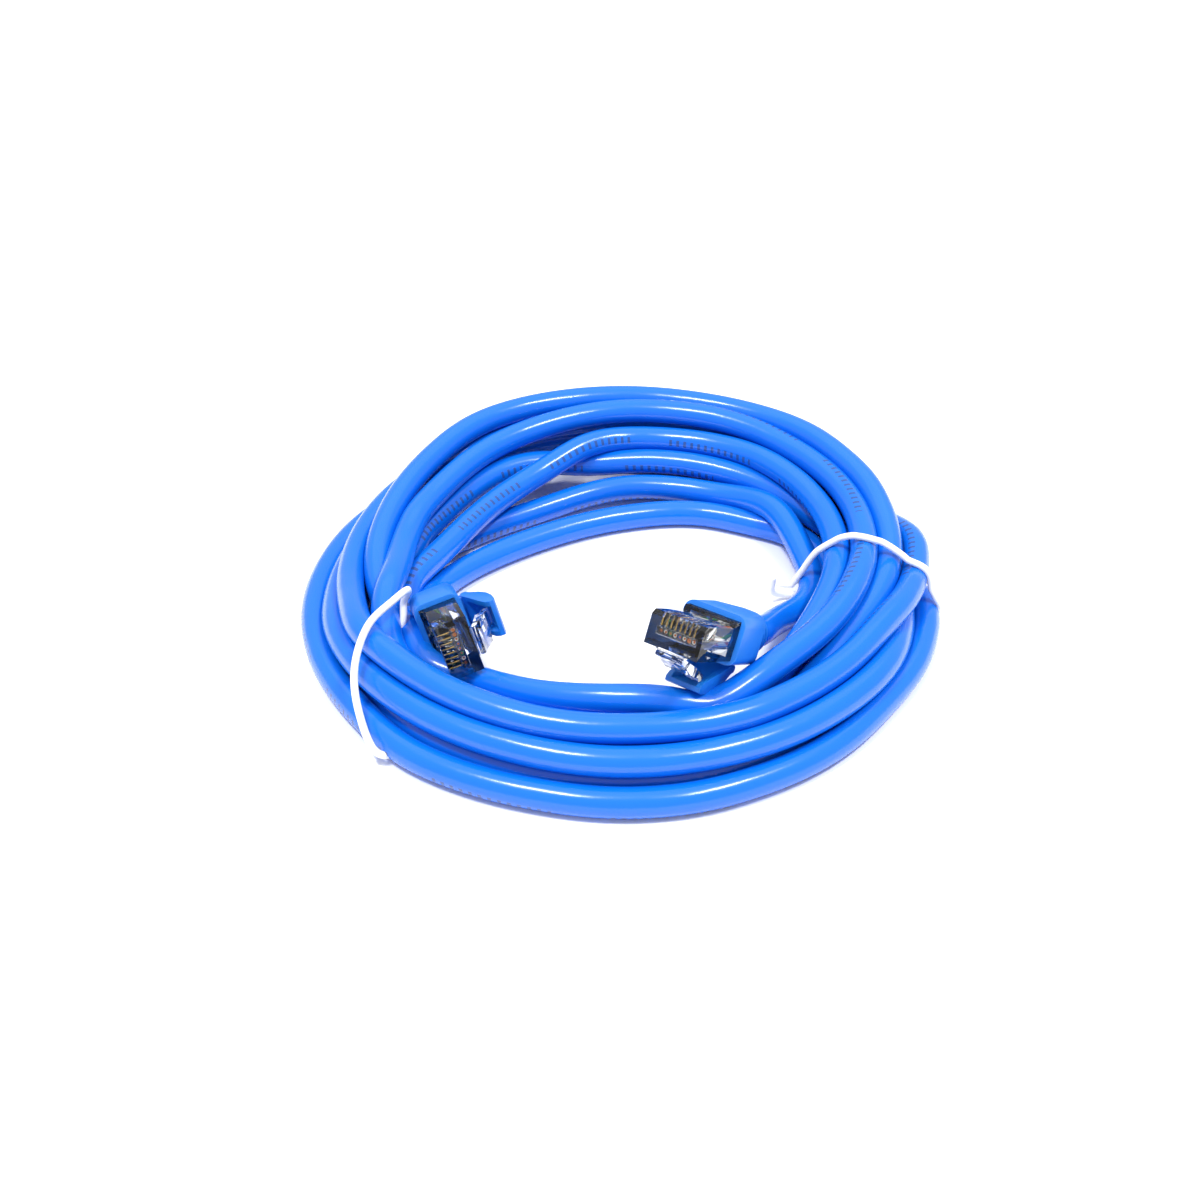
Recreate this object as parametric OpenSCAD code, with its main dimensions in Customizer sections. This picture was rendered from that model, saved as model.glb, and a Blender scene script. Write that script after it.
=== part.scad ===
// Ethernet patch cable: a coil of round blue cable held by two twist ties, with a clear
// modular plug and a ribbed, hooded boot on each end.
// A plug's own frame has its nose at x = 0, its cable towards -x, its contacts on the -z face
// and its latch on the +z face.

/* [Cable] */
// Outside diameter of the jacket
cable_d = 6; // [5.6:0.1:6.2]
// Thickness of the jacket
jacket_wall = 0.5; // [0.4:0.05:0.6]
// Diameter of one insulated wire
wire_d = 0.9; // [0.8:0.02:0.94]
// Diameter of one copper conductor
core_d = 0.5; // [0.4:0.02:0.6]
// Thickness of the cross-shaped pair separator
separator_t = 0.4; // [0.3:0.05:0.5]

/* [Coil] */
// Radius of the coil's inner wall
coil_inner = 41; // [40:0.5:43]
// Largest radius of the coil
coil_outer = 70; // [68:0.5:71]
// Height of the coil
coil_h = 18.5; // [18:0.5:20]

/* [Plug] */
// Width of the plug
plug_w = 11.68; // [11.4:0.01:11.9]
// Height of the plug's front part, without its latch
plug_h = 6.6; // [6.4:0.05:6.8]
// Length of the plug
plug_l = 21.5; // [21:0.1:23]
// Distance from one contact to the next
pitch = 1.016; // [1:0.001:1.03]
// Width of the latch's lever
lever_w = 3.25; // [3:0.05:3.6]
// Width of the latch's locking shoulders
shoulder_w = 6; // [5.6:0.05:6.2]

/* [Boot] */
// Distance from the nose back to the boot's front edge
boot_front = 13.4; // [12.5:0.1:14]
// Distance from the nose back to the boot's rear end
boot_end = 30; // [29.5:0.1:31]
// Thickness of the boot's sleeve
boot_wall = 1.1; // [0.9:0.05:1.3]
// Number of strain relief ribs
rib_count = 4; // [3:1:4]
// Width of the hood over the latch
hood_w = 7.8; // [7:0.1:8]

/* [Ties] */
// Diameter of a twist tie's coating
tie_d = 1.5; // [1.3:0.05:1.6]
// Diameter of a twist tie's wire
tie_core_d = 0.5; // [0.4:0.05:0.6]

/* [Hidden] */
COLOURS = ["white_orange", "orange", "white_green", "blue", "white_blue", "green", "white_brown", "brown"];
$fn = 48;
EPS = 0.01;

// Where each plug's nose is, and how it is turned: roll, minus pitch, yaw
PLUG_AT = [[-31.6, -37.4, 17], [9.8, -50, 29.4]];
PLUG_TURN = [[-77, -18, -74], [182, -30, -127]];

// Sizes that follow from the driving ones
half_w = plug_w / 2;
half_h = plug_h / 2;
cable_r = cable_d / 2;
step_x = -11.4;
step_h = 1.1;
axis_z = -0.5;
lane_z = 0.3;
jacket_x = -15.6;
contact_t = 0.32;
bar_back = -11.9;
bar_half_h = 0.75;
gap = 0.1;
LATCH_AXIS = [-0.8, 4.3];
HOOD_AXIS = [-19.9, 5.75];

// Free stretches of cable, from each boot to the coil: the first two points lie on the plug's axis
TAIL_A = concat(
    [for (x = [-boot_end - 0.4, -boot_end - 6]) plug_point(0, [x, 0, axis_z])],
    [[-40.5, 5, 3], [-36, 11, 3], [-28.5, 18.5, 3], [-18.5, 25.7, 3], [-8, 31.6, 3], [4, 35.5, 3], [16, 37, 3],
     [28, 35, 3]]
);
TAIL_B = concat(
    [for (x = [-boot_end - 0.4, -boot_end - 4]) plug_point(1, [x, 0, axis_z])],
    [[30.5, -19.5, 9.6], [33.4, -12, 6], [38, -5.4, 3.4], [42, -2.6, 3], [45.5, -1, 3]]
);

// Twist ties: from one free end, under and over the coil, to the other free end
TIE_LEFT = [
    [-32.5, -28, 4], [-34.5, -27, 1.6], [-40, -27, 1.1], [-43, -40, 1.1], [-44, -50, 1.1], [-47, -52.5, 3.5],
    [-51, -45.5, 9], [-52, -39, 14], [-50, -31.5, 18.4], [-46, -25, 19.6], [-43.4, -20.5, 19.4],
    [-44.6, -19.5, 16], [-45.2, -20.5, 11.6], [-43.8, -22, 7.2], [-41.6, -23.4, 3.2], [-38.7, -24.4, 2]
];
TIE_RIGHT = [
    [33.8, 2.2, 7.5], [33.8, 2.6, 3], [37.5, 4.6, 1.1], [44, 4.6, 1.1], [56, 0, 1.1], [66.5, -4.8, 1.1],
    [69, -5.8, 4.5], [66, -4.7, 11.1], [60, -2.5, 16.6], [54, -0.4, 19.2], [49, 1.4, 18.5], [43.8, 3.2, 14.3],
    [40.6, 4.4, 8], [39.6, 5, 4], [36, 6.4, 2.6], [33, 7.4, 3.4]
];

// ---- Turning a plug's own coordinates into the object's frame

function turned_x(v, a) = [v[0], v[1] * cos(a) - v[2] * sin(a), v[1] * sin(a) + v[2] * cos(a)];
function turned_y(v, a) = [v[0] * cos(a) + v[2] * sin(a), v[1], v[2] * cos(a) - v[0] * sin(a)];
function turned_z(v, a) = [v[0] * cos(a) - v[1] * sin(a), v[0] * sin(a) + v[1] * cos(a), v[2]];
function turned(v, t) = turned_z(turned_y(turned_x(v, t[0]), t[1]), t[2]);
function plug_point(end, p) = PLUG_AT[end] + turned(p, PLUG_TURN[end]);

module on_plug(end) {
    translate(PLUG_AT[end]) rotate(PLUG_TURN[end]) children();
}

// ---- Sweeping a round tube along a route

function unit(v) = v / norm(v);
function spline(p, q, r, s, t) = 0.5 * (2 * q + (r - p) * t + (2 * p - 5 * q + 4 * r - s) * t * t
    + (3 * q - p - 3 * r + s) * t * t * t);
function clamped(route, i) = route[max(0, min(len(route) - 1, i))];
function smooth(route, steps) = concat(
    [for (i = [0 : len(route) - 2]) for (k = [0 : steps - 1])
        spline(clamped(route, i - 1), route[i], route[i + 1], clamped(route, i + 2), k / steps)],
    [route[len(route) - 1]]
);
function heading(path, i) = unit(clamped(path, i + 1) - clamped(path, i - 1));
function ring(centre, dir, up, radius, sides) =
    let (across = unit(cross(dir, up)), over = cross(across, dir))
    [for (k = [0 : sides - 1]) centre + radius * (cos(360 * k / sides) * across + sin(360 * k / sides) * over)];
function side_faces(rings, sides, first, flip) = [
    for (i = [0 : rings - 2]) for (k = [0 : sides - 1])
        let (a = first + i * sides, n = (k + 1) % sides)
        flip ? [a + n, a + k, a + k + sides, a + n + sides] : [a + k, a + n, a + n + sides, a + k + sides]
];

// A solid tube, or with a bore an open-ended hollow one
module tube(path, radius, sides, up, bore = 0) {
    rings = len(path);
    total = rings * sides;
    outer = [for (i = [0 : rings - 1]) each ring(path[i], heading(path, i), up, radius, sides)];
    inner = [for (i = [0 : rings - 1]) each ring(path[i], heading(path, i), up, bore, sides)];
    last = total - sides;
    if (bore == 0)
        polyhedron(outer, concat(
            side_faces(rings, sides, 0, true),
            [[for (k = [0 : sides - 1]) k], [for (k = [sides - 1 : -1 : 0]) last + k]]
        ));
    else
        polyhedron(concat(outer, inner), concat(
            side_faces(rings, sides, 0, true),
            side_faces(rings, sides, total, false),
            [for (k = [0 : sides - 1]) let (n = (k + 1) % sides) [k, n, total + n, total + k]],
            [for (k = [0 : sides - 1]) let (n = (k + 1) % sides)
                [last + n, last + k, total + last + k, total + last + n]]
        ));
}

// A flat outline in the plug's x and z, given a thickness across its width
module across(width) {
    rotate([90, 0, 0]) linear_extrude(width, center = true) children();
}

module rounded_rectangle(width, height, radius) {
    square([width - 2 * radius, height], center = true);
    square([width, height - 2 * radius], center = true);
    for (x = [-1, 1]) for (y = [-1, 1])
        translate([x * (width / 2 - radius), y * (height / 2 - radius)]) circle(radius);
}

// ---- Cable

module cable_coil() {
    low = coil_inner;
    outline = [
        [low, 0], [coil_outer - 1.5, 0], [coil_outer, 2.5], [coil_outer, 8], [coil_outer - 5, coil_h - 4],
        [coil_outer - 11, coil_h], [low + 13, coil_h], [low + 9, coil_h - 4], [low + 6, 10.5], [low + 1.5, 10],
        [low, 8]
    ];
    color("dodgerblue") difference() {
        rotate_extrude($fn = 96) polygon(outline);
        // Room that the plugs take from the coil
        on_plug(0) translate([-boot_end - 2, -8.4, -7.4]) cube([boot_end + 4, 20, 40]);
        on_plug(1) translate([-boot_end, -9, -20]) cube([boot_end + 8, 18, 31.6]);
        // Grooves that the ties pass through under the coil
        tie_groove(TIE_LEFT[2], TIE_LEFT[4]);
        tie_groove(TIE_RIGHT[3], TIE_RIGHT[5]);
    }
}

module tie_groove(from, to) {
    way = to - from;
    translate([from[0], from[1], -1]) rotate([0, 0, atan2(way[1], way[0])])
        translate([-10, -1.8, 0]) cube([norm(way) + 20, 3.6, 3]);
}

module cable_tail(route) {
    color("dodgerblue") tube(smooth(route, 2), cable_r, 10, [0, 0, 1]);
}

// ---- Ties

module tie(route, up) {
    color("white") tube(smooth(route, 3), tie_d / 2, 8, up, tie_core_d / 2 + 0.02);
}

module tie_core(route, up) {
    color("silver") tube(smooth(route, 3), tie_core_d / 2, 8, up);
}

// ---- Plug

module housing(end) {
    side = [
        [0, -half_h + 0.9], [-0.9, -half_h], [step_x, -half_h], [step_x - 0.4, -half_h - step_h],
        [-plug_l, -half_h - step_h], [-plug_l, half_h], [0, half_h]
    ];
    color("gainsboro", 0.5) on_plug(end) difference() {
        union() {
            across(plug_w) polygon(side);
            // Pad under the latch's living hinge
            translate([-1.6, -shoulder_w / 2, half_h - 0.1]) cube([1.6, shoulder_w, 0.35]);
        }
        // Space for the load bar, then for the cable's end
        translate([bar_back - 0.7, -4.4, lane_z - bar_half_h - 0.03]) cube([11.3, 8.8, 2 * bar_half_h + 0.06]);
        translate([-plug_l - 1, -4.4, axis_z - 3.05]) cube([plug_l + bar_back + 0.9, 8.8, 6.1]);
        // One slot for each contact
        for (pin = [0 : 7])
            translate([-6.4, lane_y(pin) - contact_t / 2 - 0.04, -half_h - 1])
                cube([5.5, contact_t + 0.08, half_h + lane_z - bar_half_h + 1]);
        // Window over the crimped strain relief bar
        translate([-20, -3.2, -half_h - step_h - 1]) cube([1.2, 6.4, 2.5]);
        translate([-17, -3.2, -half_h - step_h - 1]) cube([1.2, 6.4, 2.5]);
    }
}

function lane_y(pin) = (pin - 3.5) * pitch;

module latch(end) {
    reach = 11.8;
    lever = [
        [-0.9, 3.75], [-6.6, 5.6], [-11.2, 6.9], [-reach - 0.9, 7.7], [-reach - 0.6, 8.85], [-reach + 0.2, 8.85],
        [-11, 8.2], [-6.4, 6.9], [-0.7, 4.85]
    ];
    shoulders = [[-0.9, 3.75], [-6.6, 5.6], [-6.6, 7.4], [-5.4, 7.2], [-2.6, 5.6], [-0.7, 4.85]];
    color("gainsboro", 0.5) on_plug(end) {
        across(lever_w) polygon(lever);
        across(shoulder_w) polygon(shoulders);
        translate([LATCH_AXIS[0], 0, LATCH_AXIS[1]]) rotate([90, 0, 0])
            cylinder(h = shoulder_w, r = 0.56, center = true);
    }
}

module contacts(end) {
    top = -half_h + 0.22;
    heel = lane_z - bar_half_h;
    blade = concat(
        [for (a = [0 : 22.5 : 90]) [-2 + 0.9 * cos(a), top + 0.9 - 0.9 * sin(a)]],
        [[-5.9, top], [-6.2, top + 0.3], [-6.2, heel - 0.3], [-5.2, heel - 0.3]],
        [for (tine = [-4.6, -3.6, -2.6]) each [
            [tine - 0.3, heel - 0.3], [tine - 0.2, lane_z + 0.1], [tine, lane_z + 0.4],
            [tine + 0.2, lane_z + 0.1], [tine + 0.3, heel - 0.3]
        ]],
        [[-1.1, heel - 0.3]]
    );
    color("gold") on_plug(end) for (pin = [0 : 7])
        translate([0, lane_y(pin), 0]) across(contact_t) polygon(blade);
}

module load_bar(end) {
    color("whitesmoke", 0.6) on_plug(end) difference() {
        translate([bar_back, -4.3, lane_z - bar_half_h]) cube([-1.5 - bar_back, 8.6, 2 * bar_half_h]);
        for (pin = [0 : 7]) {
            translate([bar_back - 1, lane_y(pin), lane_z]) rotate([0, 90, 0]) cylinder(h = 12, d = wire_d + 0.04);
            translate([-5.2, lane_y(pin) - contact_t / 2 - 0.03, lane_z - bar_half_h - 1])
                cube([3.2, contact_t + 0.06, bar_half_h + 1]);
        }
    }
}

// Where each wire lies in the jacket: pairs 1-2, 3-6, 4-5 and 7-8 have a quarter each
BUNDLE = [
    [-1.63, -0.48], [-1.63, 0.48], [-0.48, -1.63], [-0.48, 1.63],
    [0.48, 1.63], [0.48, -1.63], [1.63, 0.48], [1.63, -0.48]
];
function ease(t) = t * t * (3 - 2 * t);
function wire_path(end, pin) = [
    for (x = [-1.8, bar_back, -12.6, -13.2, -13.8, -14.4, -15, jacket_x, -22, -boot_end])
        let (t = ease(max(0, min(1, (bar_back - x) / (bar_back - jacket_x)))))
        plug_point(end, [
            x,
            lane_y(pin) * (1 - t) + BUNDLE[pin][0] * t,
            lane_z * (1 - t) + (axis_z + BUNDLE[pin][1]) * t
        ])
];
function plug_up(end) = turned([0, 0, 1], PLUG_TURN[end]);

module wire(end, pin) {
    shades = ["bisque", "orange", "honeydew", "royalblue", "lightblue", "green", "tan", "saddlebrown"];
    color(shades[pin]) tube(wire_path(end, pin), wire_d / 2, 8, plug_up(end), core_d / 2);
}

module wire_cores(end) {
    color("peru") for (pin = [0 : 7]) tube(wire_path(end, pin), core_d / 2 - 0.01, 8, plug_up(end));
}

module pair_separator(end) {
    color("white") on_plug(end) translate([-boot_end, 0, axis_z]) for (turn = [45, 135])
        rotate([turn, 0, 0]) translate([0, -1.95, -separator_t / 2])
            cube([boot_end + jacket_x - 0.2, 3.9, separator_t]);
}

module jacket_end(end) {
    length = boot_end + jacket_x;
    color("dodgerblue") on_plug(end) translate([-boot_end, 0, axis_z]) rotate([0, 90, 0]) difference() {
        cylinder(h = length, r = cable_r);
        translate([0, 0, -1]) cylinder(h = length + 2, r = cable_r - jacket_wall);
    }
}

module boot(end) {
    inner_h = plug_h + step_h;
    middle = -step_h / 2;
    sleeve_w = plug_w + 2 * boot_wall;
    sleeve_h = inner_h + 2 * boot_wall;
    sleeve_end = -plug_l - 0.6;
    rear_r = 4.2;
    rib_gap = (boot_end + sleeve_end - 2) / rib_count;
    color("deepskyblue") on_plug(end) difference() {
        union() {
            translate([sleeve_end, 0, middle]) rotate([90, 0, 90])
                linear_extrude(boot_front * -1 - sleeve_end) rounded_rectangle(sleeve_w, sleeve_h, 2.2);
            hull() {
                translate([sleeve_end, 0, middle]) rotate([90, 0, 90])
                    linear_extrude(EPS) rounded_rectangle(sleeve_w, sleeve_h, 2.2);
                translate([sleeve_end - 2, 0, axis_z]) rotate([0, 90, 0]) cylinder(h = EPS, r = 5.2, $fn = 32);
            }
            translate([-boot_end, 0, axis_z]) rotate([0, 90, 0])
                cylinder(h = boot_end + sleeve_end, r = rear_r);
            for (rib = [1 : rib_count])
                translate([sleeve_end - 2 - rib * rib_gap + 0.3, 0, axis_z]) rotate([0, 90, 0])
                    cylinder(h = rib_gap - 0.7, r = 5.3 - rib * 0.22);
        }
        translate([-plug_l - 0.1, -half_w - 0.05, -half_h - step_h - 0.05])
            cube([20, plug_w + 0.1, inner_h + 0.1]);
        translate([-boot_end - 1, 0, axis_z]) rotate([0, 90, 0]) cylinder(h = 20, r = cable_r + 0.05);
    }
}

module hood(end) {
    outer = [
        [-19.9, 6.5], [-19.2, 7], [-17.4, 8.6], [-15, 9.9], [-12.4, 10.5], [-9.6, 10.6], [-8.6, 10.2], [-8.6, 9.3]
    ];
    under = [[-12.6, 9.2], [-14.8, 8.5], [-16.6, 7], [-17.6, 5.5], [-18.6, 4.95], [-19.9, 5]];
    lips = [[-9.4, 8.4], [-12, 7.4], [-15, 6.4], [-17.6, 5.5], [-18.6, 4.95], [-19.9, 5]];
    lip_t = 1.1;
    color("deepskyblue") on_plug(end) {
        across(hood_w) polygon(concat(outer, under));
        translate([HOOD_AXIS[0], 0, HOOD_AXIS[1]]) rotate([90, 0, 0]) cylinder(h = hood_w, r = 0.8, center = true);
        for (side = [-1, 1]) translate([0, side * (hood_w - lip_t) / 2, 0])
            across(lip_t) polygon(concat(outer, lips));
    }
}

cable_coil();
cable_tail(TAIL_A);  // cable_tail_a
cable_tail(TAIL_B);  // cable_tail_b
tie(TIE_LEFT, [0.9, 0.2, 0.4]);  // tie_left
tie_core(TIE_LEFT, [0.9, 0.2, 0.4]);  // tie_left_core
tie(TIE_RIGHT, [0.33, 0.94, 0.1]);  // tie_right
tie_core(TIE_RIGHT, [0.33, 0.94, 0.1]);  // tie_right_core

for (end = [0, 1]) {
    tag = ["_a", "_b"][end];
    housing(end);
    latch(end);
    contacts(end);
    load_bar(end);
    wire_cores(end);
    pair_separator(end);
    jacket_end(end);
    boot(end);
    hood(end);
    for (pin = [0 : 7])
        wire(end, pin);
}
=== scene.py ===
"""Coiled ethernet patch cable: the cable's turns, the twist ties, the finishes and the studio round them."""

import math

import bmesh
import bpy
import numpy as np
from mathutils import Euler, Matrix, Vector


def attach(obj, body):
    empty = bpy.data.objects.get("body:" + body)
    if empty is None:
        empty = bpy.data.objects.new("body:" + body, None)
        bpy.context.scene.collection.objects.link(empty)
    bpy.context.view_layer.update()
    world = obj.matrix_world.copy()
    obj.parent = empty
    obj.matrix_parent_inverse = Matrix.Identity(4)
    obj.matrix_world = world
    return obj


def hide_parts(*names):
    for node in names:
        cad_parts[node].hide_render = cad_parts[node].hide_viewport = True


bl_info = {
    "name": "Ethernet patch cable",
    "version": (1, 0, 0),
    "blender": (4, 5, 0),
    "location": "View3D > Sidebar > Patch cable",
    "description": "Lays the coiled cable and its ties round the packed plugs, and gives every piece its finish",
    "category": "Object",
}

MM = 0.001
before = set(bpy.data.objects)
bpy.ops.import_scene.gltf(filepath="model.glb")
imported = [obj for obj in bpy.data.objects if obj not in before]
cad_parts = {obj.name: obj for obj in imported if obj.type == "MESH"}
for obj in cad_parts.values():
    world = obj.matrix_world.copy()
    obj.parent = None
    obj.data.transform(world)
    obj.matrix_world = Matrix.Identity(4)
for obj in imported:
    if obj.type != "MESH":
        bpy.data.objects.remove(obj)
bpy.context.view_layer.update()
ENDS = "ab"
WIRE_COLOURS = {
    "white_orange": ("#F2EDE4", "#E8791C"), "orange": ("#E8791C", None),
    "white_green": ("#F2EDE4", "#1F8A45"), "blue": ("#1F55B8", None),
    "white_blue": ("#F2EDE4", "#1F55B8"), "green": ("#1F8A45", None),
    "white_brown": ("#F2EDE4", "#6B3F22"), "brown": ("#6B3F22", None),
}

# The coil, in millimetres and degrees. Each turn starts at the right and goes round clockwise as seen from
# above, past these stations, and lies in one seat at each: (distance from the coil's centre, its middle's height).
STATIONS = [0, 330, 300, 270, 240, 210, 180, 150, 120, 90, 60, 30]
TURNS = [
    [
        (46, 3), (46, 3), (47, 3), (48, 3), (48.5, 3), (48, 3.6),
        (43, 8), (41.5, 8.8), (46, 10), (55, 13), (56, 13.5), (52, 13),
    ],
    [
        (47.2, 12.6), (44.5, 10.5), (48.5, 8.2), (51, 7), (51.5, 7), (52, 9),
        (49, 13), (50.5, 14), (57, 16), (61.7, 17.5), (62.5, 17), (58, 16),
    ],
    [
        (52.8, 15.3), (49.2, 14.8), (48.4, 13.4), (48, 12.4), (46.5, 9), (48.4, 9.4),
        (52.5, 12), (57.2, 16), (64, 18), (67, 18.4), (67, 18), (64, 16),
    ],
    [
        (58.4, 13), (51.5, 9), (53.8, 5), (54, 3), (54.5, 3), (53.5, 3),
        (50.5, 4), (50, 8), (54, 10), (51.5, 9.6), (52.5, 9.6), (53.5, 7.5),
    ],
    [
        (66.6, 3), (64, 3), (65, 3), (66.2, 3), (65, 3), (65.5, 3),
        (67.5, 3), (69, 3), (67, 3), (64, 3), (63, 3), (64, 3),
    ],
    [
        (61.4, 5.5), (61.6, 8.4), (61.6, 8.8), (61.5, 8.8), (60.5, 8.8), (61.2, 8.8),
        (62, 6), (64, 5.5), (65, 8), (66, 8.6), (66, 8.6), (65, 7),
    ],
    [
        (63.8, 10.2), (57.6, 11.6), (56.4, 12.3), (56.4, 12.4), (56.8, 12.6), (58, 13),
        (59.3, 10), (62, 11), (63, 13), (65, 13.4), (65, 13), (66, 11.5),
    ],
    [
        (53, 5), (57.5, 3), (59.5, 3), (60.1, 3), (60, 3.5), (58.8, 3.2),
        (56, 3), (46, 3), (42.5, 3), (45.6, 5), (47, 5.5), (47, 4),
    ],
]
# The two free stretches, from plug A's boot into the coil and from the coil to plug B's boot
FROM_PLUG_A = [
    (-39.9, -10.1, 7.6), (-41.5, -4.7, 5.8), (-40.5, 5, 3), (-36, 11, 3), (-28.5, 18.5, 3), (-18.5, 25.7, 3),
    (-8, 31.6, 3), (4, 35.5, 3), (16, 37, 3), (28, 35, 3), (37, 29, 3), (43, 20, 3), (45.5, 10, 3),
]
TO_PLUG_B = [
    (45.5, -1, 3), (42, -2.6, 3), (38, -5.4, 3.4), (33.4, -12, 6), (30.5, -19.5, 9.6), (27.7, -26.3, 12.8),
    (25.6, -29, 14.8),
]
# The twist ties, from one free end, under and over the coil, to the other
TIE_LEFT = [
    (-32.5, -28, 4), (-34.5, -27, 1.6), (-40, -27, 1.1), (-43, -40, 1.1), (-44, -50, 1.1), (-47, -52.5, 3.5),
    (-51, -45.5, 9), (-52, -39, 14), (-50, -31.5, 18.4), (-46, -25, 19.6), (-43.4, -20.5, 19.4),
    (-44.6, -19.5, 16), (-45.2, -20.5, 11.6), (-43.8, -22, 7.2), (-41.6, -23.4, 3.2), (-38.7, -24.4, 2),
]
TIE_RIGHT = [
    (33.8, 2.2, 7.5), (33.8, 2.6, 3), (37.5, 4.6, 1.1), (44, 4.6, 1.1), (56, 0, 1.1), (66.5, -4.8, 1.1),
    (69, -5.8, 4.5), (66, -4.7, 11.1), (60, -2.5, 16.6), (54, -0.4, 19.2), (49, 1.4, 18.5), (43.8, 3.2, 14.3),
    (40.6, 4.4, 8), (39.6, 5, 4), (36, 6.4, 2.6), (33, 7.4, 3.4),
]
# Where each plug's nose is, and the plug's turns about X, Y and Z in degrees
PLUG_AT = {"a": (-31.6, -37.4, 17), "b": (9.8, -50, 29.4)}
PLUG_TURN = {"a": (-77, -18, -74), "b": (182, -30, -127)}
# Room that each plug with its boot, and each hood, takes: low and high corners in the plug's own frame
PLUG_BOXES = [((-29, -6.2, -4.2), (0, 6.2, 3.4)), ((-20.5, -4, 3.6), (-8, 4, 10.8))]
# Laying the cable: the distance between its points, the rounds, and the shares of a push apart, of a kink and
# of the way back to its seat that one round takes
LAY_STEP = 4.0
LAY_ROUNDS = 260
LAY_PUSH = 0.3
LAY_STIFFNESS = 0.22
LAY_HOLD = 0.02
# Points at each end of the cable that never move, and points that may lie in a plug's room
HELD_POINTS = 3
BOOT_POINTS = 6
# Share of its way out of a plug that a point moves in one round
PLUG_PUSH = 0.25
# Clearing the ties off the cable: the rounds, the shares of a push and of an easing that one round takes, how
# far beyond touching a point is eased, and the height below which a tie runs under the coil and stays put
TIE_ROUNDS = 30
TIE_PUSH = 0.7
TIE_EASE = 0.3
TIE_NEAR = 0.6
UNDER_COIL = 3.2
CABLE_RADIUS = 3.0
# Distance between the rings of each finished tube, and the sides of a ring
CABLE_RING_STEP = 1.5
CABLE_SIDES = 20
TIE_RING_STEP = 0.6
TIE_SIDES = 16
# The jacket's ink marks: metres from bar to bar and from group to group, the inked share of each, half the
# lane's width in turns round the jacket, and the ink's strength
BAR_PITCH = 0.0019
BAR_SHARE = 0.4
GROUP_PITCH = 0.034
GROUP_SHARE = 0.7
LANE_HALF = 0.042
INK_STRENGTH = 0.75
# The index of refraction that the clear pieces are drawn with. Real polycarbonate has 1.585.
CLEAR_INDEX = 1.45
# Edges sharper than this many degrees are rounded
EDGE_ANGLE = 35
# Half the floor's side, in metres, and the strength of the room's own light
FLOOR_REACH = 6.0
ROOM_LIGHT = 0.68


def linear(code, alpha=1.0):
    """A colour written as sRGB hex, turned to linear red, green, blue and alpha."""
    parts = [int(code[i:i + 2], 16) / 255 for i in (1, 3, 5)]
    return (*[c / 12.92 if c <= 0.04045 else ((c + 0.055) / 1.055) ** 2.4 for c in parts], alpha)


# ---- Curves


def smooth_line(points, spacing):
    """A smooth line through the points, cut into equal steps."""
    p = np.asarray(points, float)
    q = np.vstack([2 * p[0] - p[1], p, 2 * p[-1] - p[-2]])
    found = []
    for a, b, c, d in zip(q, q[1:], q[2:], q[3:]):
        k1 = np.linalg.norm(b - a) ** 0.5
        k2 = k1 + np.linalg.norm(c - b) ** 0.5
        k3 = k2 + np.linalg.norm(d - c) ** 0.5
        t = np.linspace(k1, k2, max(4, int(np.linalg.norm(c - b) * 2)), endpoint=False)[:, None]
        ab = ((k1 - t) * a + t * b) / k1
        bc = ((k2 - t) * b + (t - k1) * c) / (k2 - k1)
        cd = ((k3 - t) * c + (t - k2) * d) / (k3 - k2)
        abc = ((k2 - t) * ab + t * bc) / k2
        bcd = ((k3 - t) * bc + (t - k1) * cd) / (k3 - k1)
        found.append(((k2 - t) * abc + (t - k1) * bcd) / (k2 - k1))
    line = np.vstack([*found, p[-1:]])
    run = np.r_[0, np.cumsum(np.linalg.norm(np.diff(line, axis=0), axis=1))]
    at = np.linspace(0, run[-1], int(round(run[-1] / spacing)) + 1)
    return np.stack([np.interp(at, run, line[:, k]) for k in range(3)], 1)


def coil_seats():
    """The cable's listed route, end to end."""
    points = list(FROM_PLUG_A)
    for turn, seats in enumerate(TURNS):
        for angle, (radius, height) in list(zip(STATIONS, seats))[turn == 0:]:
            a = math.radians(angle)
            points.append((radius * math.cos(a), radius * math.sin(a), height))
    return points + TO_PLUG_B


def settle(line, diameter, spacing):
    """Pushes turns that share room toward one diameter apart, keeps them on the floor and evens out their bends."""
    home, line = line.copy(), line.copy()
    place = np.arange(len(line))
    apart = np.abs(place[:, None] - place[None, :]) > int(2 * diameter / spacing) + 2
    free = np.ones(len(line), bool)
    free[:HELD_POINTS] = free[-HELD_POINTS:] = False
    for _ in range(LAY_ROUNDS):
        way = line[:, None, :] - line[None, :, :]
        gap = np.sqrt((way**2).sum(2))
        close = (gap < diameter) & apart
        share = np.where(close, (diameter - gap) / np.maximum(gap, 1e-6), 0.0)
        crowd = np.sqrt(np.maximum(close.sum(1), 1))[:, None]
        push = (share[:, :, None] * way).sum(1) * LAY_PUSH / crowd
        bend = np.zeros_like(line)
        bend[1:-1] = (line[:-2] + line[2:]) / 2 - line[1:-1]
        kink = np.zeros_like(line)
        kink[2:-2] = (bend[1:-3] + bend[3:-1]) / 2 - bend[2:-2]
        line[free] += (push - LAY_STIFFNESS * kink + LAY_HOLD * (home - line))[free]
        outside_plugs(line[BOOT_POINTS:-BOOT_POINTS], diameter / 2)
        line[:, 2] = np.maximum(line[:, 2], diameter / 2)
    return line


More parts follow.
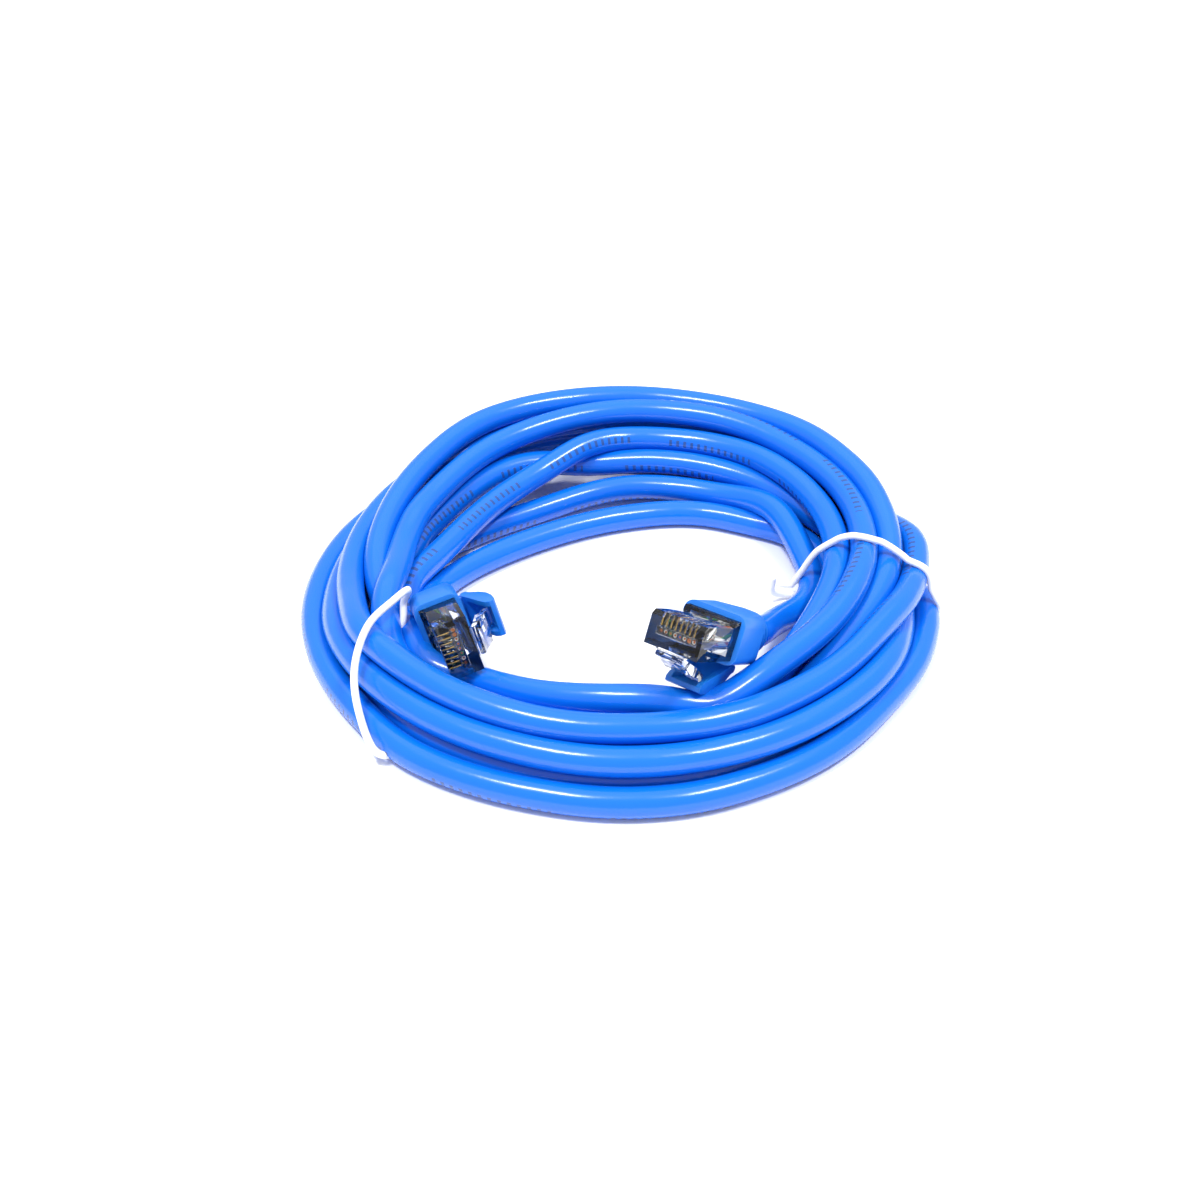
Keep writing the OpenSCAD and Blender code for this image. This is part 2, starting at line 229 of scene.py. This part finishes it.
def outside_plugs(line, clearance):
    """Moves the points that lie in a plug, a boot or a hood part of the way out, never through nose or back."""
    for end in ENDS:
        way = np.array(plug_frame(end).to_3x3())
        here = (line - PLUG_AT[end]) @ way
        for low, high in PLUG_BOXES:
            low, high = np.array(low) - clearance, np.array(high) + clearance
            inside = ((here > low) & (here < high)).all(1)
            for i in np.flatnonzero(inside):
                depth = np.r_[here[i] - low, high - here[i]]
                depth[[0, 3]] = np.inf
                k = depth.argmin()
                line[i] += way[:, k % 3] * (-depth[k] if k < 3 else depth[k]) * PLUG_PUSH


def clear_of(line, cable, gap, above):
    """Moves a tie's points out of the cable, except where it runs under it."""
    line = line.copy()
    for _ in range(TIE_ROUNDS):
        way = line[:, None, :] - cable[None, :, :]
        far = np.linalg.norm(way, axis=2)
        nearest = far.argmin(1)
        step = far.min(1)
        lift = (step < gap) & (line[:, 2] > above)
        out = way[np.arange(len(line)), nearest] / np.maximum(step, 1e-6)[:, None]
        line[lift] += (out * (gap - step)[:, None])[lift] * TIE_PUSH
        ease = np.zeros_like(line)
        ease[1:-1] = (line[:-2] + line[2:]) / 2 - line[1:-1]
        line += TIE_EASE * ease * (step < gap + TIE_NEAR)[:, None] * (line[:, 2] > above)[:, None]
    return line


def tube(name, line, radius, sides):
    """A closed round tube along a line in millimetres. Its UV map holds metres along it and turns round it."""
    line = np.asarray(line, float) * MM
    run = np.r_[0, np.cumsum(np.linalg.norm(np.diff(line, axis=0), axis=1))]
    heading = np.gradient(line, axis=0)
    heading /= np.linalg.norm(heading, axis=1)[:, None]
    side = np.cross(heading[0], (0, 0, 1.0))
    side /= np.linalg.norm(side)
    mesh = bmesh.new()
    uv = mesh.loops.layers.uv.new("along")
    rings = []
    for point, ahead in zip(line, heading):
        side = side - ahead * (side @ ahead)
        side /= np.linalg.norm(side)
        over = np.cross(ahead, side)
        ring = []
        for k in range(sides):
            a = 2 * math.pi * k / sides
            ring.append(mesh.verts.new(point + radius * MM * (math.cos(a) * side + math.sin(a) * over)))
        rings.append(ring)
    for i, (a, b) in enumerate(zip(rings, rings[1:])):
        for k in range(sides):
            n = (k + 1) % sides
            face = mesh.faces.new((a[k], a[n], b[n], b[k]))
            face.smooth = True
            corners = ((run[i], k), (run[i], k + 1), (run[i + 1], k + 1), (run[i + 1], k))
            for loop, (u, v) in zip(face.loops, corners):
                loop[uv].uv = (u, v / sides)
    for ring, point, turn in ((rings[0], line[0], -1), (rings[-1], line[-1], 1)):
        tip = mesh.verts.new(point)
        for k in range(sides):
            pair = (ring[k], ring[(k + 1) % sides])
            mesh.faces.new((*pair[::turn], tip))
    bmesh.ops.recalc_face_normals(mesh, faces=mesh.faces)
    data = bpy.data.meshes.new(name)
    mesh.to_mesh(data)
    mesh.free()
    made = bpy.data.objects.new(name, data)
    bpy.context.scene.collection.objects.link(made)
    return made


# ---- Materials


def node(tree, kind, settings=(), **links):
    """Adds a node, sets its properties and sockets, and links named sockets from other nodes' outputs."""
    made = tree.nodes.new(kind)
    for key, value in dict(settings).items():
        if key in made.inputs:
            made.inputs[key].default_value = value
        else:
            setattr(made, key, value)
    for key, source in links.items():
        tree.links.new(source, made.inputs[key.replace("_", " ")])
    return made


def material(name, settings):
    """A new material with one principled shader, its node tree and that shader."""
    made = bpy.data.materials.new(name)
    made.use_nodes = True
    tree = made.node_tree
    tree.nodes.clear()
    shader = node(tree, "ShaderNodeBsdfPrincipled", settings)
    node(tree, "ShaderNodeOutputMaterial", Surface=shader.outputs[0])
    return made, tree, shader


def mixed(tree, factor, a, b):
    """The colour between a and b."""
    blend = node(tree, "ShaderNodeMix", {"data_type": "RGBA"})
    tree.links.new(factor, blend.inputs[0])
    for socket, value in ((blend.inputs[6], a), (blend.inputs[7], b)):
        if isinstance(value, bpy.types.NodeSocket):
            tree.links.new(value, socket)
        else:
            socket.default_value = value
    return blend.outputs[2]


def bumped(tree, shader, height, distance, strength):
    """Gives the shader a bump of that height pattern."""
    bump = node(tree, "ShaderNodeBump", {"Strength": strength, "Distance": distance}, Height=height)
    tree.links.new(bump.outputs[0], shader.inputs["Normal"])


def maths(tree, operation, a, b=0.0, c=0.0):
    """One Math node on sockets or numbers."""
    made = node(tree, "ShaderNodeMath", {"operation": operation})
    for socket, value in zip(made.inputs, (a, b, c)):
        if isinstance(value, bpy.types.NodeSocket):
            tree.links.new(value, socket)
        else:
            socket.default_value = value
    return made.outputs[0]


def mottled(tree, base, scale, change):
    """The base colour with soft patches of a darker and a lighter shade of it."""
    place = node(tree, "ShaderNodeTexCoord").outputs["Object"]
    noise = node(tree, "ShaderNodeTexNoise", {"Scale": scale, "Detail": 3.0}, Vector=place)
    dark = (*[c * (1 - change) for c in base[:3]], 1)
    light = (*[min(1, c * (1 + change)) for c in base[:3]], 1)
    return mixed(tree, noise.outputs[0], dark, light), place


def extruded_pvc(settings):
    """Extruded PVC jacket: glossy, nearly smooth, faintly wavy, with a line of ink marks."""
    made, tree, shader = material(
        "extruded PVC jacket", {"Roughness": 0.22, "IOR": 1.5, "Coat Weight": 0.12, "Coat Roughness": 0.06}
    )
    colour, place = mottled(tree, settings.colour, 60, 0.06)
    uv = node(tree, "ShaderNodeUVMap", {"uv_map": "along"}).outputs[0]
    split = node(tree, "ShaderNodeSeparateXYZ", Vector=uv)
    along, round_it = split.outputs[0], split.outputs[1]
    # Ink marks: plain bars in groups, in a narrow lane that winds slowly round the cable. The added 100.5 keeps
    # the lane's place positive and puts its middle at a half.
    bar = maths(tree, "FRACT", maths(tree, "MULTIPLY", along, 1 / BAR_PITCH))
    bar = maths(tree, "LESS_THAN", bar, BAR_SHARE)
    group = maths(tree, "FRACT", maths(tree, "MULTIPLY", along, 1 / GROUP_PITCH))
    group = maths(tree, "LESS_THAN", group, GROUP_SHARE)
    turned = maths(tree, "MULTIPLY_ADD", along, settings.print_twist, settings.print_place)
    lane = maths(tree, "FRACT", maths(tree, "ADD", maths(tree, "SUBTRACT", round_it, turned), 100.5))
    lane = maths(tree, "LESS_THAN", maths(tree, "ABSOLUTE", maths(tree, "SUBTRACT", lane, 0.5)), LANE_HALF)
    inked = maths(tree, "MULTIPLY", lane, INK_STRENGTH)
    ink = maths(tree, "MULTIPLY", maths(tree, "MULTIPLY", bar, group), inked)
    tree.links.new(mixed(tree, ink, colour, linear("#27426E")), shader.inputs["Base Color"])
    grain = node(tree, "ShaderNodeTexNoise", {"Scale": 900.0, "Detail": 2.0}, Vector=place).outputs[0]
    swell = node(tree, "ShaderNodeTexNoise", {"Scale": 140.0, "Detail": 1.0}, Vector=place).outputs[0]
    bumped(tree, shader, maths(tree, "ADD", swell, maths(tree, "MULTIPLY", grain, 0.12)), 0.00035, 0.35)
    return made


def moulded_pvc(settings):
    """Moulded soft PVC: the jacket's blue with a satin skin from the mould."""
    made, tree, shader = material(
        "moulded soft PVC", {"Roughness": 0.36, "IOR": 1.53, "Coat Weight": 0.15, "Coat Roughness": 0.25}
    )
    colour, place = mottled(tree, settings.colour, 90, 0.05)
    tree.links.new(colour, shader.inputs["Base Color"])
    skin = node(tree, "ShaderNodeTexNoise", {"Scale": 2600.0, "Detail": 3.0}, Vector=place).outputs[0]
    bumped(tree, shader, skin, 0.00004, 0.3)
    return made


def clear_polycarbonate(name, tint, roughness):
    """Moulded polycarbonate: clear, with faint flow lines in its skin."""
    made, tree, shader = material(
        name,
        {"Base Color": linear(tint), "Roughness": roughness, "IOR": CLEAR_INDEX, "Transmission Weight": 1.0},
    )
    place = node(tree, "ShaderNodeTexCoord").outputs["Object"]
    waves = {"Scale": 260.0, "Detail": 2.0, "Distortion": 0.6}
    flow = node(tree, "ShaderNodeTexNoise", waves, Vector=place).outputs[0]
    bumped(tree, shader, flow, 0.00012, 0.25)
    return made


def gold_plate():
    """Gold plate on phosphor bronze: bright, with faint patches of a darker and a lighter gold."""
    made, tree, shader = material("gold plated bronze", {"Metallic": 1.0, "Roughness": 0.24})
    colour, _ = mottled(tree, linear("#E9B84A"), 700, 0.12)
    tree.links.new(colour, shader.inputs["Base Color"])
    return made


def drawn_metal(name, code, roughness):
    """Drawn wire: a bare metal with faint patches of tarnish."""
    made, tree, shader = material(name, {"Metallic": 1.0, "Roughness": roughness})
    colour, _ = mottled(tree, linear(code), 900, 0.15)
    tree.links.new(colour, shader.inputs["Base Color"])
    return made


def polyethylene(name, code, stripe=None):
    """Extruded polyethylene insulation: waxy, plain or with broken, slanting bands of its pair's colour."""
    made, tree, shader = material(
        name,
        {"Roughness": 0.38, "IOR": 1.51, "Subsurface Weight": 0.05, "Subsurface Radius": (0.001, 0.001, 0.001)},
    )
    colour, place = mottled(tree, linear(code), 500, 0.05)
    if stripe:
        wave = {"Scale": 190.0, "bands_direction": "DIAGONAL", "Distortion": 0.0}
        band = node(tree, "ShaderNodeTexWave", wave, Vector=place).outputs[1]
        colour = mixed(tree, maths(tree, "GREATER_THAN", band, 0.72), colour, linear(stripe))
    tree.links.new(colour, shader.inputs["Base Color"])
    return made


def tie_plastic(settings):
    """Plastic-coated tie: white PVC drawn over a wire, slightly uneven, with a soft sheen."""
    made, tree, shader = material("white tie coating", {"Roughness": 0.42, "IOR": 1.5})
    colour, place = mottled(tree, settings.colour, 400, 0.04)
    tree.links.new(colour, shader.inputs["Base Color"])
    ripple = node(tree, "ShaderNodeTexNoise", {"Scale": 700.0, "Detail": 2.0}, Vector=place).outputs[0]
    bumped(tree, shader, ripple, 0.0001, 0.4)
    return made


def wear(obj, finish):
    """Gives a piece its material."""
    obj.data.materials.clear()
    obj.data.materials.append(finish)


def soften(obj, radius, segments=2):
    """Rounds a hard piece's edges, as a mould or a press leaves them."""
    weld = obj.modifiers.new("join corners", "WELD")
    weld.merge_threshold = 2e-6
    bevel = obj.modifiers.new("rounded edges", "BEVEL")
    bevel.width = radius * MM
    bevel.segments = segments
    bevel.limit_method = "ANGLE"
    bevel.angle_limit = math.radians(EDGE_ANGLE)
    bevel.harden_normals = True
    for face in obj.data.polygons:
        face.use_smooth = True


def cad(name):
    """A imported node's own object."""
    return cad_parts[name]


def plug_frame(end):
    """A plug's own frame: the origin in the middle of its nose, +X out of the nose, +Z on the latch's side."""
    turn = Euler([math.radians(a) for a in PLUG_TURN[end]])
    return Matrix.Translation(Vector(PLUG_AT[end]) * MM) @ turn.to_matrix().to_4x4()


# ---- Settings


class CableSettings(bpy.types.PropertyGroup):
    """What a user would change about the cable."""

    diameter: bpy.props.FloatProperty(
        name="Diameter", description="Outside diameter of the jacket", default=0.006, min=0.0055, max=0.0062,
        unit="LENGTH",
    )
    length: bpy.props.FloatProperty(
        name="Length", description="Length of the cable from boot to boot", default=3.0, unit="LENGTH"
    )
    print_place: bpy.props.FloatProperty(
        name="Print", description="Where round the jacket the ink marks start, in turns", default=0.22,
        min=0, max=1, subtype="FACTOR",
    )
    print_twist: bpy.props.FloatProperty(
        name="Print twist", description="Turns that the line of ink marks makes round the jacket in a metre",
        default=1.98,
    )
    colour: bpy.props.FloatVectorProperty(
        name="Colour", description="Colour of the jacket", size=4, min=0, max=1, subtype="COLOR",
        default=linear("#0669D8"),
    )


class PlugSettings(bpy.types.PropertyGroup):
    """What a user would change about the plugs and boots."""

    edge: bpy.props.FloatProperty(
        name="Edge radius", description="Rounding of the clear plug's edges", default=0.00018, unit="LENGTH"
    )
    web_from: bpy.props.FloatVectorProperty(
        name="Web from", description="Low corner of the web under a hood's back edge, in the plug's own frame",
        default=(-0.0209, -0.0036, 0.0035), unit="LENGTH",
    )
    web_to: bpy.props.FloatVectorProperty(
        name="Web to", description="High corner of the web under a hood's back edge, in the plug's own frame",
        default=(-0.0191, 0.0036, 0.0058), unit="LENGTH",
    )
    boot_edge: bpy.props.FloatProperty(
        name="Boot edge radius", description="Rounding of the boot's edges", default=0.00035, unit="LENGTH"
    )
    colour: bpy.props.FloatVectorProperty(
        name="Boot colour", description="Colour of the boots", size=4, min=0, max=1, subtype="COLOR",
        default=linear("#1271D4"),
    )


class TieSettings(bpy.types.PropertyGroup):
    """What a user would change about the ties."""

    diameter: bpy.props.FloatProperty(
        name="Diameter", description="Diameter of a tie's coating", default=0.0015, unit="LENGTH"
    )
    colour: bpy.props.FloatVectorProperty(
        name="Colour", description="Colour of a tie's coating", size=4, min=0, max=1, subtype="COLOR",
        default=linear("#F3F3F1"),
    )


class StageSettings(bpy.types.PropertyGroup):
    """What a user would change about the studio."""

    floor: bpy.props.FloatVectorProperty(
        name="Floor", description="Colour of the floor", size=4, min=0, max=1, subtype="COLOR",
        default=linear("#FBFBFD"),
    )
    distance: bpy.props.FloatProperty(
        name="Camera distance", description="From the camera to the coil's centre", default=0.32, unit="LENGTH"
    )
    elevation: bpy.props.FloatProperty(
        name="Camera elevation", description="Angle of the camera above the floor", default=math.radians(35),
        subtype="ANGLE",
    )


# ---- Pieces


class PATCHCABLE_OT_camera(bpy.types.Operator):
    """Places the camera"""

    bl_idname = "patch_cable.camera"
    bl_label = "Camera"

    def execute(self, context):
        settings = context.scene.patch_stage
        data = bpy.data.cameras.new("camera")
        data.lens = 43.0
        data.shift_x, data.shift_y = -0.0175, 0.0083
        camera = bpy.data.objects.new("camera", data)
        back = settings.distance * math.cos(settings.elevation)
        camera.location = (0, -back, settings.distance * math.sin(settings.elevation))
        camera.rotation_euler = (math.pi / 2 - settings.elevation, 0, 0)
        data.clip_start = 0.01
        context.scene.collection.objects.link(camera)
        context.scene.camera = camera
        return {"FINISHED"}


class PATCHCABLE_OT_cable(bpy.types.Operator):
    """Lays the cable in its coil, from one boot to the other"""

    bl_idname = "patch_cable.cable"
    bl_label = "Cable"

    def execute(self, context):
        settings = context.scene.patch_cable
        width = settings.diameter / MM
        laid = settle(smooth_line(coil_seats(), LAY_STEP), width, LAY_STEP)
        line = smooth_line(laid, CABLE_RING_STEP)
        cable = tube("cable", line, width / 2, CABLE_SIDES)
        wear(cable, extruded_pvc(settings))
        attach(cable, "cable")
        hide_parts("cable_coil", "cable_tail_a", "cable_tail_b")
        context.scene["laid"] = [float(v) for v in laid.ravel()]
        return {"FINISHED"}


class PATCHCABLE_OT_ties(bpy.types.Operator):
    """Binds the coil with two twist ties"""

    bl_idname = "patch_cable.ties"
    bl_label = "Twist ties"

    def execute(self, context):
        settings = context.scene.patch_ties
        radius = settings.diameter / MM / 2
        cable = smooth_line(np.array(context.scene["laid"]).reshape(-1, 3), 1.0)
        coating = tie_plastic(settings)
        steel = drawn_metal("drawn soft steel", "#B9BCC0", 0.35)
        for name, route in (("tie_left", TIE_LEFT), ("tie_right", TIE_RIGHT)):
            line = clear_of(smooth_line(route, 2 * TIE_RING_STEP), cable, radius + CABLE_RADIUS, UNDER_COIL)
            tie = tube(name + "_coating", smooth_line(line, TIE_RING_STEP), radius, TIE_SIDES)
            wear(tie, coating)
            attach(tie, "cable")
            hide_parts(name)
            wear(cad(name + "_core"), steel)
        return {"FINISHED"}


class PATCHCABLE_OT_plugs(bpy.types.Operator):
    """Finishes both clear plugs, their contacts and the wires inside"""

    bl_idname = "patch_cable.plugs"
    bl_label = "Plugs"

    def execute(self, context):
        settings = context.scene.patch_plugs
        clear = clear_polycarbonate("clear polycarbonate", "#F4F7FA", 0.02)
        bar = clear_polycarbonate("clear polycarbonate load bar", "#E4EAF0", 0.08)
        gold = gold_plate()
        copper = drawn_metal("bare drawn copper", "#C8743C", 0.3)
        white = polyethylene("extruded separator", "#EDEDEA")
        wires = {}
        for colour, codes in WIRE_COLOURS.items():
            wires[colour] = polyethylene("insulation " + colour.replace("_", " "), *codes)
        for end in ENDS:
            for piece, finish, slot, edge in (
                ("housing", clear, "clear_plastic", settings.edge / MM),
                ("latch", clear, "clear_plastic", settings.edge / MM),
                ("contacts", gold, "contact_plate", 0.05),
                ("load_bar", bar, "load_bar_plastic", 0.05),
            ):
                obj = cad(f"{piece}_{end}")
                wear(obj, finish)
                soften(obj, edge)
            wear(cad("wire_cores_" + end), copper)
            wear(cad("pair_separator_" + end), white)
            for colour, finish in wires.items():
                wear(cad(f"wire_{colour}_{end}"), finish)
        return {"FINISHED"}


class PATCHCABLE_OT_boots(bpy.types.Operator):
    """Finishes the boots, their hoods and the cable's ends inside them"""

    bl_idname = "patch_cable.boots"
    bl_label = "Boots"

    def execute(self, context):
        settings = context.scene.patch_plugs
        blue = moulded_pvc(settings)
        jacket = bpy.data.materials["extruded PVC jacket"]
        for end in ENDS:
            for piece in ("boot", "hood"):
                obj = cad(f"{piece}_{end}")
                wear(obj, blue)
                soften(obj, settings.boot_edge / MM, 3)
            wear(cad("jacket_end_" + end), jacket)
            self.root(context, settings, end, blue)
        return {"FINISHED"}

    def root(self, context, settings, end, finish):
        """The moulded web that joins a hood's back edge to its boot, and stays with the boot."""
        low, high = Vector(settings.web_from), Vector(settings.web_to)
        middle = Matrix.Translation((low + high) / 2)
        stretch = Matrix.Diagonal((*(high - low), 1))
        mesh = bmesh.new()
        bmesh.ops.create_cube(mesh, size=1, matrix=plug_frame(end) @ middle @ stretch)
        data = bpy.data.meshes.new("hood_web_" + end)
        mesh.to_mesh(data)
        mesh.free()
        web = bpy.data.objects.new("hood_web_" + end, data)
        context.scene.collection.objects.link(web)
        wear(web, finish)
        soften(web, settings.boot_edge / MM, 3)
        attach(web, "cable")


class PATCHCABLE_OT_stage(bpy.types.Operator):
    """Adds the pale floor, the strip lights and the soft fill"""

    bl_idname = "patch_cable.stage"
    bl_label = "Studio"

    def execute(self, context):
        settings = context.scene.patch_stage
        mesh = bpy.data.meshes.new("floor")
        far = FLOOR_REACH
        mesh.from_pydata([(-far, -far, 0), (far, -far, 0), (far, far, 0), (-far, far, 0)], [], [(0, 1, 2, 3)])
        floor = bpy.data.objects.new("floor", mesh)
        floor.location.z = -0.0001
        context.scene.collection.objects.link(floor)
        paper, tree, shader = material("matte paper", {"Roughness": 0.9})
        colour, _ = mottled(tree, settings.floor, 3, 0.01)
        tree.links.new(colour, shader.inputs["Base Color"])
        mesh.materials.append(paper)
        for name, place, size, power in (
            ("strip left", (-0.3, -0.25, 1.0), (0.3, 0.1), 7.5),
            ("strip right", (0.42, -0.25, 1.0), (0.34, 0.1), 7.5),
            ("overhead fill", (0.0, 0.5, 1.6), (2.2, 2.0), 7),
        ):
            light = bpy.data.lights.new(name, "AREA")
            light.shape = "RECTANGLE"
            light.size, light.size_y = size
            light.energy = power
            lamp = bpy.data.objects.new(name, light)
            lamp.location = place
            lamp.rotation_euler = (-Vector(place)).to_track_quat("-Z", "Y").to_euler()
            context.scene.collection.objects.link(lamp)
        world = bpy.data.worlds.new("soft room")
        world.use_nodes = True
        world.node_tree.nodes["Background"].inputs[0].default_value = linear("#FFFFFF")
        world.node_tree.nodes["Background"].inputs[1].default_value = ROOM_LIGHT
        context.scene.world = world
        # Plain display colours, so that saturated plastics stay saturated
        context.scene.view_settings.view_transform = "Standard"
        return {"FINISHED"}


class PATCHCABLE_PT_panel(bpy.types.Panel):
    """Lists the steps and their settings"""

    bl_idname = "PATCHCABLE_PT_panel"
    bl_label = "Patch cable"
    bl_space_type = "VIEW_3D"
    bl_region_type = "UI"
    bl_category = "Patch cable"

    def draw(self, context):
        for group in SETTINGS:
            settings = getattr(context.scene, group)
            box = self.layout.box()
            for name in settings.__annotations__:
                box.prop(settings, name)
        for step in STEPS:
            self.layout.operator(step.bl_idname)


SETTINGS = {
    "patch_cable": CableSettings, "patch_plugs": PlugSettings, "patch_ties": TieSettings,
    "patch_stage": StageSettings,
}
STEPS = (
    PATCHCABLE_OT_camera, PATCHCABLE_OT_cable, PATCHCABLE_OT_ties, PATCHCABLE_OT_plugs, PATCHCABLE_OT_boots,
    PATCHCABLE_OT_stage,
)


def register():
    for made in (*SETTINGS.values(), *STEPS, PATCHCABLE_PT_panel):
        bpy.utils.register_class(made)
    for name, group in SETTINGS.items():
        setattr(bpy.types.Scene, name, bpy.props.PointerProperty(type=group))


def unregister():
    for name in SETTINGS:
        delattr(bpy.types.Scene, name)
    for made in (PATCHCABLE_PT_panel, *reversed(STEPS), *SETTINGS.values()):
        bpy.utils.unregister_class(made)


def main():
    register()
    for step in ("camera", "cable", "ties", "plugs", "boots", "stage"):
        getattr(bpy.ops.patch_cable, step)()


if __name__ == "__main__":
    main()
